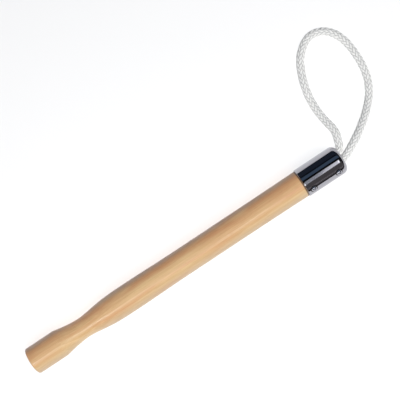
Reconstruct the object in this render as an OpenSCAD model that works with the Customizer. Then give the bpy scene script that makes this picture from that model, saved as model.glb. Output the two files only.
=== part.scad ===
// Rope-loop holding tool: a turned hardwood handle, a steel end cap and a braided rope loop.
// The tool lies on its side. +X runs from the butt to the cap, +Y is the side that the loop
// leans to, +Z is up, and the origin is on the surface below the middle of the handle.

/* [Handle] */
// Length of the handle and its cap, from the butt face to the rolled end
tool_len = 450; // [380:5:600]
// Diameter of the straight butt end
butt_d = 34.8; // [31:0.2:42]
// Length of the straight butt end, with its rounded edge
butt_len = 39.5; // [25:0.5:50]
// Radius of the rounded edge of the butt face
butt_edge = 2.5; // [0.5:0.1:5]
// Diameter of the narrow waist behind the butt
waist_d = 25.9; // [20:0.1:29]
// Distance from the butt face to the waist
waist_at = 75.5; // [66:0.5:90]
// Diameter of the swell after the waist
swell_d = 35.3; // [31:0.1:42]
// Distance from the butt face to the widest part of the swell
swell_at = 152; // [140:1:170]
// Diameter of the straight shaft
shaft_d = 33.9; // [30:0.1:40]
// Distance from the butt face to the start of the straight shaft
shaft_at = 215; // [200:1:230]
// Diameter of the wood that fills the cap
fill_d = 34.6; // [31:0.1:41]
// Length over which the shaft grows to the cap's mouth
grow_len = 75; // [20:1:90]

/* [Cap] */
// Length of the cap along the handle
cap_len = 57; // [50:0.5:75]
// Thickness of the cap's steel
cap_wall = 1.2; // [0.8:0.1:2]
// Radial clearance between the cap and the wood
cap_gap = 0.1; // [0.05:0.01:0.25]
// Radius of the cap's rolled end corner
roll_r = 7.5; // [6.5:0.1:9]
// Radial clearance between the rope tails and the rolled rim's opening
open_gap = 2.8; // [2.2:0.1:3.5]

/* [Rope] */
// Diameter of the braided rope
rope_d = 10; // [8:0.1:12]
// Gap between the left strand and the cap's rolled rim
rim_gap = 0.6; // [0.4:0.05:1]
// Clearance between the two rope tails in the handle
tail_gap = 0.2; // [0.1:0.05:0.5]
// Radial clearance between the tails and the hole that holds them
hole_gap = 0.6; // [0.3:0.05:1]
// Length of each tail, measured back from the cap's end
tail_len = 27; // [22:0.5:29]
// Radius of the left strand's bend where it leaves the cap
left_bend_r = 20; // [20:0.5:22]
// Radius of the right strand's bend where it leaves the cap
right_bend_r = 45; // [42:1:48]
// Radius of the face between the fixed tails and the swinging loop
swing_r = 12; // [11.5:0.1:14]
// Gap between the fixed tails and the swinging loop
swing_gap = 0.3; // [0.3:0.05:0.6]

/* [Screws] */
// Diameter of the screw shanks
screw_d = 3.4; // [3:0.1:4]
// Diameter of the round screw heads
head_d = 6.8; // [6:0.1:8]
// Height of the round screw heads
head_h = 2.3; // [1.8:0.1:2.8]
// Radial clearance of the screw holes
screw_gap = 0.05; // [0.03:0.01:0.15]
// Length of the short screw that holds the cap
cap_screw_len = 16; // [12:1:18]
// How far the long screw bites into the wood beyond the rope tails
screw_bite = 3.3; // [2:0.1:3.5]
// Distance from the cap's mouth to the short screw
cap_screw_at = 8; // [6:0.5:12]
// Distance from the cap's end to the long screw
rope_screw_at = 13; // [13:0.5:15]
// Angle of both screws from straight up, towards -Y
screw_lean = 45; // [45:1:45]

/* [Hidden] */

steps = 12;         // straight pieces in each curve of the turned profile
rope_sides = 10;    // sides of the loop's tube
rope_cuts = 2;      // rings for each point of the loop's route
lift = 0.1;         // height of the loop's tube above the surface
head_seat = 0.02;   // gap between a screw head and the cap
slack = 1;          // how far a cutting tool runs past what it cuts
point_room = 0.5;   // depth of a screw hole past the screw's point

butt_x = -tool_len / 2;
end_x = tool_len / 2;
mouth_x = end_x - cap_len;
cap_in = fill_d / 2 + cap_gap;
cap_r = cap_in + cap_wall;
axis_z = cap_r;

rope_r = rope_d / 2;
tail_off = (rope_d + tail_gap) / 2;     // from the handle's axis to each tail's axis
tail_side = tail_off * sin(screw_lean); // the same, sideways
tail_rise = tail_off * cos(screw_lean); // the same, up or down
hole_r = tail_off + rope_r + hole_gap;
hole_mouth = 1.5;                       // chamfer of the rope hole's mouth
hole_x = end_x - tail_len - 2;
drill_point = hole_r * tan(31);

rope_screw_len = cap_r + tail_off + rope_r + screw_bite;

// The cap's end is rolled in until its round edge leaves this opening, and the wood stops
// where the roll begins
open_r = tail_off + rope_r + open_gap;
roll_mid = roll_r - cap_wall / 2;
roll_turn = acos((open_r + cap_wall / 2 - cap_r + roll_r) / roll_mid);
corner_x = end_x - roll_mid * sin(roll_turn) - cap_wall / 2;
wood_end = corner_x - 0.4;
open_side = sqrt(open_r ^ 2 - tail_rise ^ 2); // half width of the opening at the tails' heights

// Where the two strands begin to bend: the left one passes the rim with the rim gap left over
rim_pass = acos((tail_side + left_bend_r - open_side + rim_gap) / (left_bend_r - rope_r));
left_bend_x = end_x - (left_bend_r - rope_r) * sin(rim_pass);
right_bend_x = left_bend_x + 0.4;

// The axis that the loop swings about
swing_x = end_x + 1;

function part_way(a, b, share) = a + share * (b - a);

// Turned profile: [distance along X, radius, slope], joined by smooth curves
PROFILE = [
    [butt_x + butt_len, butt_d / 2, -0.10],
    [butt_x + part_way(butt_len, waist_at, 0.4), part_way(butt_d, waist_d, 0.57) / 2, -0.135],
    [butt_x + waist_at, waist_d / 2, 0.02],
    [butt_x + part_way(waist_at, swell_at, 0.3), part_way(waist_d, swell_d, 0.53) / 2, 0.125],
    [butt_x + part_way(waist_at, swell_at, 0.5), part_way(waist_d, swell_d, 0.88) / 2, 0.06],
    [butt_x + swell_at, swell_d / 2, 0],
    [butt_x + shaft_at, shaft_d / 2, 0],
    [mouth_x - grow_len, shaft_d / 2, 0],
    [mouth_x, fill_d / 2, 0],
];

// Route of the loop from the left strand round to the right one, by hand:
// [distance past the start of the left bend, sideways, how far it has come down, 0 to 1]
ROUTE = [
    [18, 18, 0.03], [21, 26, 0.15], [22, 34, 0.35], [20.5, 44, 0.65], [19, 56, 0.9],
    [18.5, 69, 1], [19.5, 83, 1], [22.5, 97, 1], [27.5, 111.5, 1], [35, 126, 1],
    [45, 137, 1], [58, 144.5, 1], [70, 144.5, 1], [81.5, 139, 1], [90, 128.5, 1],
    [95, 114, 1], [96.5, 98, 1], [96, 81, 1], [92.5, 63.5, 1], [84.5, 47.5, 1],
    [73, 34.5, 0.88], [60, 24, 0.6], [47, 15.5, 0.3], [35.5, 9, 0.1], [25, 3.5, 0.02],
];

// A point on the curve between two stations of the profile, at share u
function blend_r(a, b, u) =
    let (w = b[0] - a[0])
    (2 * u ^ 3 - 3 * u ^ 2 + 1) * a[1] + (u ^ 3 - 2 * u ^ 2 + u) * w * a[2]
    + (3 * u ^ 2 - 2 * u ^ 3) * b[1] + (u ^ 3 - u ^ 2) * w * b[2];

function curve_points(a, b) =
    [for (i = [0 : steps - 1]) let (u = i / steps) [blend_r(a, b, u), a[0] + u * (b[0] - a[0])]];

function profile_points() =
    [for (i = [0 : len(PROFILE) - 2]) each
        abs(PROFILE[i][1] - PROFILE[i + 1][1]) < 0.001
            ? [[PROFILE[i][1], PROFILE[i][0]]]
            : curve_points(PROFILE[i], PROFILE[i + 1])];

// Heights of the two strands where they leave the cap, and of the rope where it lies
left_z = axis_z - tail_rise;
right_z = axis_z + tail_rise;
lie_z = rope_r + lift;

// Points on the two strands' bends, after a turn from straight along X
function left_point(turn) =
    [left_bend_x, tail_side, left_z] + left_bend_r * [sin(turn), 1 - cos(turn), 0];

function right_point(turn) =
    [right_bend_x, -tail_side, right_z] + right_bend_r * [sin(turn), 1 - cos(turn), 0];

function route_point(i) =
    let (p = ROUTE[i], high = i < len(ROUTE) / 2 ? left_z : right_z)
    [left_bend_x + p[0], p[1], high + p[2] * (lie_z - high)];

LINE = concat(
    [for (turn = [15, 35, 55]) left_point(turn)],
    [for (i = [0 : len(ROUTE) - 1]) route_point(i)],
    [for (turn = [27, 17]) right_point(turn)]
);

// Smooth curve through the line's points
function smooth(p, i, u) =
    let (a = p[max(i - 1, 0)], b = p[i], c = p[i + 1], d = p[min(i + 2, len(p) - 1)])
    0.5 * (2 * b + u * (c - a) + u ^ 2 * (2 * a - 5 * b + 4 * c - d)
        + u ^ 3 * (3 * b - a - 3 * c + d));

function smooth_line(p) = concat(
    [for (i = [0 : len(p) - 2], k = [0 : rope_cuts - 1]) smooth(p, i, k / rope_cuts)],
    [p[len(p) - 1]]
);

function unit(v) = v / norm(v);

// Ring of points round the line's point i, square to the line
function ring(p, i, r) =
    let (
        ahead = unit(p[min(i + 1, len(p) - 1)] - p[max(i - 1, 0)]),
        side = unit(cross([0, 0, 1], ahead)),
        top = cross(ahead, side)
    )
    [for (k = [0 : rope_sides - 1])
        let (a = 360 * (k + 0.5) / rope_sides)
        p[i] + r * (cos(a) * side + sin(a) * top)];

function ring_faces(i) =
    [for (k = [0 : rope_sides - 1])
        let (n = rope_sides, a = i * n + k, b = i * n + (k + 1) % n)
        each [[a, b, b + n], [a, b + n, a + n]]];

// Turns a shape made along Z so that it lies along the handle's axis
module along_handle() {
    translate([0, 0, axis_z])
        rotate([0, 90, 0])
            children();
}

// Stands a shape made along Z on the handle's axis at a distance x, leaning as the screws do
module at_screw(x) {
    translate([x, 0, axis_z])
        rotate([screw_lean, 0, 0])
            children();
}

module tube(p, r) {
    last = (len(p) - 1) * rope_sides;
    polyhedron(
        points = [for (i = [0 : len(p) - 1]) each ring(p, i, r)],
        faces = concat(
            [[for (k = [rope_sides - 1 : -1 : 0]) k]],
            [for (i = [0 : len(p) - 2]) each ring_faces(i)],
            [[for (k = [0 : rope_sides - 1]) last + k]]
        ),
        convexity = 6
    );
}

// Hole for a screw of the given length, from its head inwards
module screw_hole(x, length) {
    at_screw(x)
        translate([0, 0, cap_r - length - point_room])
            cylinder(h = length + point_room + slack, d = screw_d + 2 * screw_gap, $fn = 48);
}

// Round-headed wood screw: plain shank, pointed end, domed head with a cross recess
module screw(x, length) {
    point = screw_d;
    dome_r = (head_d ^ 2 / 4 + head_h ^ 2) / (2 * head_h);
    recess_w = head_d * 0.14;
    recess_l = head_d * 0.56;
    at_screw(x) {
        translate([0, 0, cap_r - length + point])
            cylinder(h = length - point + head_h / 2, d = screw_d, $fn = 48);
        translate([0, 0, cap_r - length])
            cylinder(h = point, d1 = 0.4, d2 = screw_d, $fn = 48);
    }
    difference() {
        at_screw(x)
            translate([0, 0, cap_r])
                difference() {
                    rotate_extrude($fn = 64)
                        intersection() {
                            translate([0, head_h - dome_r])
                                circle(r = dome_r, $fn = 64);
                            translate([0, -slack])
                                square([head_d / 2, head_h + 2 * slack]);
                        }
                    for (turn = [20, 110])
                        rotate([0, 0, turn])
                            translate([0, 0, head_h])
                                cube([recess_l, recess_w, head_h], center = true);
                }
        along_handle()
            translate([0, 0, x - head_d])
                cylinder(h = 2 * head_d, r = cap_r + head_seat, $fn = 96);
    }
}

// A strand as it leaves the handle: straight along X, then bending to +Y, up to the swing face,
// with the hole of the long screw
module tail(y, z, bend_x, bend_r) {
    straight = bend_x - (end_x - tail_len);
    difference() {
        intersection() {
            translate([bend_x, y, z]) {
                rotate([0, -90, 0])
                    cylinder(h = straight, r = rope_r, $fn = 48);
                translate([0, bend_r, 0])
                    rotate([0, 0, -90])
                        rotate_extrude(angle = 75, $fn = 96)
                            translate([bend_r, 0])
                                circle(r = rope_r, $fn = 48);
            }
            still_side(0);
        }
        screw_hole(end_x - rope_screw_at, rope_screw_len);
    }
}

// What stays still where the rope swings: all that is behind the round swing face, grown by a gap
module still_side(gap) {
    translate([swing_x, 0, 0])
        cylinder(h = 2 * axis_z, r = swing_r + gap, $fn = 96);
    translate([swing_x - 2 * tail_len, -cap_r, 0])
        cube([2 * tail_len + gap, 2 * cap_r, 2 * axis_z]);
}

module handle() {
    color("burlywood")
        difference() {
            along_handle()
                rotate_extrude($fn = 128)
                    polygon(concat(
                        [[0, wood_end], [0, butt_x]],
                        [for (i = [0 : 6]) let (a = 90 * i / 6)
                            [butt_d / 2 - butt_edge * (1 - sin(a)), butt_x + butt_edge * (1 - cos(a))]],
                        profile_points(),
                        [[fill_d / 2, mouth_x], [fill_d / 2, wood_end]]
                    ));
            along_handle()
                translate([0, 0, hole_x]) {
                    cylinder(h = tail_len + slack, r = hole_r, $fn = 96);
                    translate([0, 0, -drill_point])
                        cylinder(h = drill_point, r1 = 0, r2 = hole_r, $fn = 96);
                    translate([0, 0, wood_end - hole_mouth - hole_x])
                        cylinder(h = hole_mouth + slack, r1 = hole_r, r2 = hole_r + hole_mouth + slack,
                            $fn = 96);
                }
            screw_hole(mouth_x + cap_screw_at, cap_screw_len);
            screw_hole(end_x - rope_screw_at, rope_screw_len);
        }
}

module cap() {
    color("silver")
        difference() {
            along_handle()
                rotate_extrude($fn = 128) {
                    translate([cap_in, mouth_x])
                        square([cap_wall, corner_x - mouth_x]);
                    translate([cap_r - roll_r, corner_x]) {
                        intersection() {
                            difference() {
                                circle(r = roll_r, $fn = 96);
                                circle(r = roll_r - cap_wall, $fn = 96);
                            }
                            polygon([
                                [0, 0], [2 * roll_r, 0], [2 * roll_r, 2 * roll_r],
                                2 * roll_r * [cos(roll_turn), sin(roll_turn)]
                            ]);
                        }
                        translate(roll_mid * [cos(roll_turn), sin(roll_turn)])
                            circle(r = cap_wall / 2, $fn = 32);
                    }
                }
            screw_hole(mouth_x + cap_screw_at, cap_screw_len);
            screw_hole(end_x - rope_screw_at, rope_screw_len / 2);
        }
}

module cap_screw() {
    color("gainsboro")
        screw(mouth_x + cap_screw_at, cap_screw_len);
}

module rope_screw() {
    color("gainsboro")
        screw(end_x - rope_screw_at, rope_screw_len);
}

module rope_tail_left() {
    color("whitesmoke")
        tail(tail_side, left_z, left_bend_x, left_bend_r);
}

module rope_tail_right() {
    color("whitesmoke")
        tail(-tail_side, right_z, right_bend_x, right_bend_r);
}

module rope_loop() {
    color("whitesmoke")
        difference() {
            tube(smooth_line(LINE), rope_r);
            still_side(swing_gap);
        }
}

handle();
cap();
cap_screw();
rope_screw();
rope_tail_left();
rope_tail_right();
rope_loop();
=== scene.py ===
"""Looks of the rope-loop tool: a turned hardwood handle, a chromed end cap, two screws and a braided rope.

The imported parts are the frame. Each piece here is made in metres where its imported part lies, and stands
for it.
"""

import logging
import math
from dataclasses import dataclass, field
from enum import Enum
from typing import Callable, Sequence

import bpy
import numpy as np
from mathutils import Matrix, Vector

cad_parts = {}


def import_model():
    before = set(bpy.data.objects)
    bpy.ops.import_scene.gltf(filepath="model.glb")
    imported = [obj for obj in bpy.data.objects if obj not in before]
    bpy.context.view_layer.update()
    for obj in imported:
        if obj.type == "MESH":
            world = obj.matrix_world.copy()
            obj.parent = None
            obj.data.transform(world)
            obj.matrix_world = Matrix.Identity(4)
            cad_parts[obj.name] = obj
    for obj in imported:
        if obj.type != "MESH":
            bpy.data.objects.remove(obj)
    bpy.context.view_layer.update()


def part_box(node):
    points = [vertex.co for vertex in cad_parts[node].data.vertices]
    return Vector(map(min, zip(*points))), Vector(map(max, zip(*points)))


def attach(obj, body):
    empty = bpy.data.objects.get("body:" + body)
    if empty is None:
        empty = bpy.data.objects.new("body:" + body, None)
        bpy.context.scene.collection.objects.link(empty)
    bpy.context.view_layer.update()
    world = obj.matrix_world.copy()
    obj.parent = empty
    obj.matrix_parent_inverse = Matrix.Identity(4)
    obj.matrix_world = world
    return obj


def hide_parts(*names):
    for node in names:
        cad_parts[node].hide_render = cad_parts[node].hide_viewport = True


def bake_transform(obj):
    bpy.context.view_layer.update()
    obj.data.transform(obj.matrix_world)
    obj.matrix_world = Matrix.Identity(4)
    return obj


LOG = logging.getLogger("rope_loop_tool")
MM = 0.001
CAP_SCREW_AT = 0.008  # from the cap's mouth
CAP_SCREW_LEN = 0.016
ROPE_SCREW_AT = 0.013  # from the cap's end
ROPE_SCREW_LEN = 0.032

Colour = tuple[float, float, float]
Point = tuple[float, float, float]


class Body(Enum):
    """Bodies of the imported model."""

    HANDLE = "handle_body"
    LOOP = "loop_body"


class Slot(Enum):
    """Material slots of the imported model."""

    WOOD = "wood"
    CAP_STEEL = "cap_steel"
    SCREW_STEEL = "screw_steel"
    ROPE = "rope"


# ---------------------------------------------------------------------------------------------
# Mesh making
# ---------------------------------------------------------------------------------------------


def smooth_step(x: np.ndarray) -> np.ndarray:
    """Returns x held between 0 and 1 with an eased start and end."""
    x = np.clip(x, 0.0, 1.0)
    return x * x * (3.0 - 2.0 * x)


def shade(mesh: bpy.types.Mesh, sharp_over: float) -> None:
    """Shades a mesh smooth, with sharp edges where its faces meet at a steep angle.

    Args:
        mesh: The mesh to shade.
        sharp_over: Angle in degrees above which an edge stays sharp.
    """
    mesh.polygons.foreach_set("use_smooth", [True] * len(mesh.polygons))
    mesh.set_sharp_from_angle(angle=math.radians(sharp_over))
    mesh.update()


def link_mesh(name: str, points: np.ndarray, faces: Sequence[Sequence[int]]) -> bpy.types.Object:
    """Makes an object from points and faces.

    Args:
        name: Name of the piece.
        points: Array of points, one row each, in metres.
        faces: Corner numbers of each face.

    Returns:
        The new object, in the scene.
    """
    mesh = bpy.data.meshes.new(name)
    mesh.from_pydata(points.tolist(), [], faces)
    mesh.validate()
    obj = bpy.data.objects.new(name, mesh)
    bpy.context.scene.collection.objects.link(obj)
    return obj


@dataclass
class Turning:
    """A turned shape: rings of points round a straight axis.

    Attributes:
        name: Name of the piece.
        outline: Distance along the axis and radius of each ring.
        around: Points in a ring.
        closed: True if the last ring joins the first, as in a tube with a thick wall.
        relief: Moves a ring's points, from arrays of distance, radius and angle to new
            distances and radii.
    """

    name: str
    outline: np.ndarray
    around: int = 160
    closed: bool = False
    relief: Callable[[np.ndarray, np.ndarray, np.ndarray], tuple[np.ndarray, np.ndarray]] | None = None

    def make(self, seat: Matrix) -> bpy.types.Object:
        """Makes the turned piece.

        Args:
            seat: Matrix that puts the shape's own Z axis, along which it was turned, in place.

        Returns:
            The new object, with its place in its mesh.
        """
        rings = len(self.outline)
        angle = np.linspace(0.0, 2.0 * math.pi, self.around, endpoint=False)
        along, angles = np.meshgrid(self.outline[:, 0], angle, indexing="ij")
        radius = np.repeat(self.outline[:, 1:2], self.around, axis=1)
        if self.relief:
            along, radius = self.relief(along, radius, angles)
        points = np.stack([radius * np.cos(angles), radius * np.sin(angles), along], axis=-1)
        flat = points.reshape(-1, 3)
        last = rings if self.closed else rings - 1
        faces = []
        for i in range(last):
            a, b = i * self.around, ((i + 1) % rings) * self.around
            for k in range(self.around):
                n = (k + 1) % self.around
                faces.append((a + k, a + n, b + n, b + k))
        if not self.closed:
            middles = [[0.0, 0.0, float(along[0].mean())], [0.0, 0.0, float(along[-1].mean())]]
            flat = np.vstack([flat, middles])
            first, end = len(flat) - 2, len(flat) - 1
            tail = (rings - 1) * self.around
            for k in range(self.around):
                n = (k + 1) % self.around
                faces.append((first, n, k))
                faces.append((end, tail + k, tail + n))
        obj = link_mesh(self.name, flat, faces)
        obj.data.transform(seat)
        return obj


def arc(centre: tuple[float, float], radius: float, start: float, end: float, steps: int) -> list:
    """Returns points on an arc, as (distance, radius) pairs.

    Args:
        centre: Centre of the arc.
        radius: Radius of the arc.
        start: First angle in degrees, from the direction of growing radius towards growing distance.
        end: Last angle in degrees.
        steps: Number of pieces.
    """
    turns = np.radians(np.linspace(start, end, steps + 1))
    return [(centre[0] + radius * math.sin(t), centre[1] + radius * math.cos(t)) for t in turns]


def along_tool(axis_z: float) -> Matrix:
    """Returns the matrix that lays a shape turned along Z on the handle's axis, along X."""
    return Matrix.Translation((0, 0, axis_z)) @ Matrix.Rotation(math.radians(90), 4, "Y")


# ---------------------------------------------------------------------------------------------
# Node making
# ---------------------------------------------------------------------------------------------


class Graph:
    """Adds nodes to one node tree and joins them."""

    def __init__(self, tree: bpy.types.NodeTree) -> None:
        """Keeps the tree that the nodes go into."""
        self.tree = tree

    def node(self, kind: str, values: dict | None = None, **settings: object) -> bpy.types.Node:
        """Adds a node.

        Args:
            kind: Blender's name for the kind of node.
            values: Input name or number, to a value or to a socket to join it to.
            **settings: The node's own settings.

        Returns:
            The new node.
        """
        made = self.tree.nodes.new(kind)
        for key, value in settings.items():
            setattr(made, key, value)
        for key, value in (values or {}).items():
            self.put(made.inputs[key], value)
        return made

    def put(self, socket: bpy.types.NodeSocket, value: object) -> None:
        """Joins a socket to another, or sets its value.

        Args:
            socket: Input to set.
            value: Socket to join to it, or a constant.
        """
        if isinstance(value, bpy.types.NodeSocket):
            self.tree.links.new(value, socket)
        else:
            socket.default_value = value

    def math(self, operation: str, a: object, b: object = 0.0, c: object = 0.0) -> bpy.types.NodeSocket:
        """Returns the result of a Math node.

        Args:
            operation: What the node does.
            a: First value.
            b: Second value.
            c: Third value, where the operation has one.

        Returns:
            The node's value.
        """
        made = self.node("ShaderNodeMath", {0: a, 1: b}, operation=operation)
        if operation == "MULTIPLY_ADD":
            self.put(made.inputs[2], c)
        return made.outputs[0]

    def vector(self, operation: str, values: dict) -> bpy.types.NodeSocket:
        """Returns the vector that a Vector Math node gives."""
        return self.node("ShaderNodeVectorMath", values, operation=operation).outputs[0]

    def spread(
        self, value: object, low: float, high: float, to: tuple[float, float] = (0.0, 1.0)
    ) -> bpy.types.NodeSocket:
        """Returns a value spread from low..high to another range, held inside it."""
        values = {"Value": value, "From Min": low, "From Max": high, "To Min": to[0], "To Max": to[1]}
        return self.node("ShaderNodeMapRange", values).outputs["Result"]

    def blend(self, share: object, a: object, b: object, mode: str = "MIX") -> bpy.types.NodeSocket:
        """Returns a mix of two colours.

        Args:
            share: How much of the second colour shows.
            a: First colour.
            b: Second colour.
            mode: Way the colours are mixed.

        Returns:
            The mixed colour.
        """
        made = self.node("ShaderNodeMix", data_type="RGBA", blend_type=mode)
        for number, value in ((0, share), (6, a), (7, b)):
            self.put(made.inputs[number], (*value, 1.0) if isinstance(value, tuple) else value)
        return made.outputs[2]

    def pick(self, share: object, a: object, b: object) -> bpy.types.NodeSocket:
        """Returns a mix of two numbers.

        Args:
            share: How much of the second number counts.
            a: First number.
            b: Second number.

        Returns:
            The mixed number.
        """
        made = self.node("ShaderNodeMix", data_type="FLOAT")
        for number, value in ((0, share), (2, a), (3, b)):
            self.put(made.inputs[number], value)
        return made.outputs[0]

    def stretched(self, place: object, scale: Point) -> bpy.types.NodeSocket:
        """Returns a place vector scaled along each axis."""
        return self.vector("MULTIPLY", {0: place, 1: scale})

    def noise(
        self, place: object, scale: object, detail: float = 2.0, rough: float = 0.5
    ) -> bpy.types.NodeSocket:
        """Returns a noise value between 0 and 1."""
        values = {"Vector": place, "Scale": scale, "Detail": detail, "Roughness": rough}
        return self.node("ShaderNodeTexNoise", values).outputs["Fac"]

    def bump(
        self, height: object, depth: float, strength: float = 1.0, normal: object = None
    ) -> bpy.types.NodeSocket:
        """Returns a normal raised by a height, depth in metres.

        Args:
            height: Height of the surface.
            depth: Depth in metres.
            strength: Share of the effect.
            normal: Normal to start from, where there is one.

        Returns:
            The raised normal.
        """
        values = {"Height": height, "Distance": depth, "Strength": strength}
        if normal is not None:
            values["Normal"] = normal
        return self.node("ShaderNodeBump", values).outputs["Normal"]


class Effect:
    """A shader node group, built once and placed in each material with its own values."""

    NAME = ""
    INPUTS: tuple[tuple[str, str, object], ...] = ()
    OUTPUTS: tuple[tuple[str, str], ...] = ()

    def fill(self, graph: Graph, given: bpy.types.Node, result: bpy.types.Node) -> None:
        """Adds the group's own nodes between its inputs and outputs."""
        raise NotImplementedError

    def tree(self) -> bpy.types.NodeTree:
        """Returns the group's node tree, made on first use.

        Returns:
            The group's node tree.
        """
        known = bpy.data.node_groups.get(self.NAME)
        if known:
            return known
        tree = bpy.data.node_groups.new(self.NAME, "ShaderNodeTree")
        for name, kind, start in self.INPUTS:
            socket = tree.interface.new_socket(name=name, in_out="INPUT", socket_type=kind)
            if start is not None:
                socket.default_value = start
        for name, kind in self.OUTPUTS:
            tree.interface.new_socket(name=name, in_out="OUTPUT", socket_type=kind)
        graph = Graph(tree)
        self.fill(graph, graph.node("NodeGroupInput"), graph.node("NodeGroupOutput"))
        return tree

    def place(self, graph: Graph, **values: object) -> bpy.types.Node:
        """Places the group in a material.

        Args:
            graph: The material's graph.
            **values: Input name, with _ for a space, to a value or a socket.

        Returns:
            The group node.
        """
        made = graph.node("ShaderNodeGroup", node_tree=self.tree())
        for key, value in values.items():
            graph.put(made.inputs[key.replace("_", " ")], value)
        return made


class WoodGrain(Effect):
    """Growth rings, soft streaks and fine fibres that run along X."""

    NAME = "wood_grain"
    INPUTS = (
        ("Place", "NodeSocketVector", None),
        ("Ring Pitch", "NodeSocketFloat", 0.0034),
        ("Waver", "NodeSocketFloat", 0.004),
    )
    OUTPUTS = (
        ("Rings", "NodeSocketFloat"),
        ("Streaks", "NodeSocketFloat"),
        ("Fibres", "NodeSocketFloat"),
        ("Pores", "NodeSocketFloat"),
    )
    # The tree's heart lies off to one side of the handle
    HEART: Point = (0.0, 0.046, -0.012)

    def fill(self, graph: Graph, given: bpy.types.Node, result: bpy.types.Node) -> None:
        """Adds the nodes of the rings, streaks, fibres and pores.

        Args:
            graph: Graph of the group's tree.
            given: Node that gives the group's inputs.
            result: Node that takes the group's outputs.
        """
        place = given.outputs["Place"]
        slow = graph.stretched(place, (5.0, 22.0, 22.0))
        sway = graph.node("ShaderNodeTexNoise", {"Vector": slow, "Scale": 1.0, "Detail": 2.0})
        shift = graph.vector("SUBTRACT", {0: sway.outputs["Color"], 1: (0.5, 0.5, 0.5)})
        sized = graph.vector("SCALE", {0: shift, "Scale": given.outputs["Waver"]})
        moved = graph.vector("ADD", {0: place, 1: sized})
        off = graph.vector("SUBTRACT", {0: moved, 1: self.HEART})
        flat = graph.stretched(off, (0.02, 1.0, 1.0))
        reach = graph.node("ShaderNodeVectorMath", {0: flat}, operation="LENGTH").outputs["Value"]
        turn = graph.math("FRACT", graph.math("DIVIDE", reach, given.outputs["Ring Pitch"]))
        rise = graph.spread(turn, 0.0, 0.8)
        fall = graph.spread(turn, 0.86, 1.0, (1.0, 0.0))
        graph.put(result.inputs["Rings"], graph.math("MULTIPLY", rise, fall))
        streaks = graph.noise(graph.stretched(place, (6.0, 150.0, 150.0)), 1.0, 3.0, 0.55)
        graph.put(result.inputs["Streaks"], streaks)
        fibres = graph.noise(graph.stretched(place, (26.0, 1100.0, 1100.0)), 1.0, 3.0, 0.6)
        graph.put(result.inputs["Fibres"], fibres)
        pores = graph.noise(graph.stretched(place, (130.0, 2600.0, 2600.0)), 1.0, 1.0)
        graph.put(result.inputs["Pores"], graph.spread(pores, 0.64, 0.74))


class Scuffs(Effect):
    """Fine scratches and handling marks."""

    NAME = "scuffs"
    INPUTS = (
        ("Place", "NodeSocketVector", None),
        ("Amount", "NodeSocketFloat", 0.5),
        ("Size", "NodeSocketFloat", 0.01),
    )
    OUTPUTS = (("Mask", "NodeSocketFloat"), ("Haze", "NodeSocketFloat"))

    def fill(self, graph: Graph, given: bpy.types.Node, result: bpy.types.Node) -> None:
        """Adds the nodes of two sets of crossing scratches and a soft haze.

        Args:
            graph: Graph of the group's tree.
            given: Node that gives the group's inputs.
            result: Node that takes the group's outputs.
        """
        rate = graph.math("DIVIDE", 1.0, given.outputs["Size"])
        sized = graph.vector("SCALE", {0: given.outputs["Place"], "Scale": rate})
        lines = []
        for turn in (0.5, 2.1):
            values = {"Vector": sized, "Angle": turn, "Axis": (0.3, 0.5, 0.8)}
            turned = graph.node("ShaderNodeVectorRotate", values)
            cells = graph.noise(graph.stretched(turned.outputs[0], (0.7, 26.0, 26.0)), 1.0, 2.0)
            lines.append(graph.spread(cells, 0.66, 0.72))
        both = graph.math("MAXIMUM", *lines)
        broken = graph.math("MULTIPLY", both, graph.spread(graph.noise(sized, 2.3), 0.45, 0.6))
        graph.put(result.inputs["Mask"], graph.math("MULTIPLY", broken, given.outputs["Amount"]))
        haze = graph.spread(graph.noise(sized, 0.9, 4.0, 0.6), 0.35, 0.75)
        graph.put(result.inputs["Haze"], graph.math("MULTIPLY", haze, given.outputs["Amount"]))


class EdgeWear(Effect):
    """Where edges have been rubbed, and where dirt settles in hollows."""

    NAME = "edge_wear"
    INPUTS = (
        ("Place", "NodeSocketVector", None),
        ("Rub", "NodeSocketFloat", 0.5),
        ("Patch", "NodeSocketFloat", 300.0),
    )
    OUTPUTS = (("Edges", "NodeSocketFloat"), ("Hollows", "NodeSocketFloat"))

    def fill(self, graph: Graph, given: bpy.types.Node, result: bpy.types.Node) -> None:
        """Adds the nodes of the rubbed edges and the hollows.

        Args:
            graph: Graph of the group's tree.
            given: Node that gives the group's inputs.
            result: Node that takes the group's outputs.
        """
        shape = graph.node("ShaderNodeNewGeometry").outputs["Pointiness"]
        patchy = graph.noise(given.outputs["Place"], given.outputs["Patch"], 3.0)
        edges = graph.spread(shape, 0.515, 0.56)
        rubbed = graph.math("MULTIPLY", edges, graph.spread(patchy, 0.35, 0.6))
        graph.put(result.inputs["Edges"], graph.math("MULTIPLY", rubbed, given.outputs["Rub"]))
        graph.put(result.inputs["Hollows"], graph.spread(shape, 0.485, 0.44))


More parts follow.
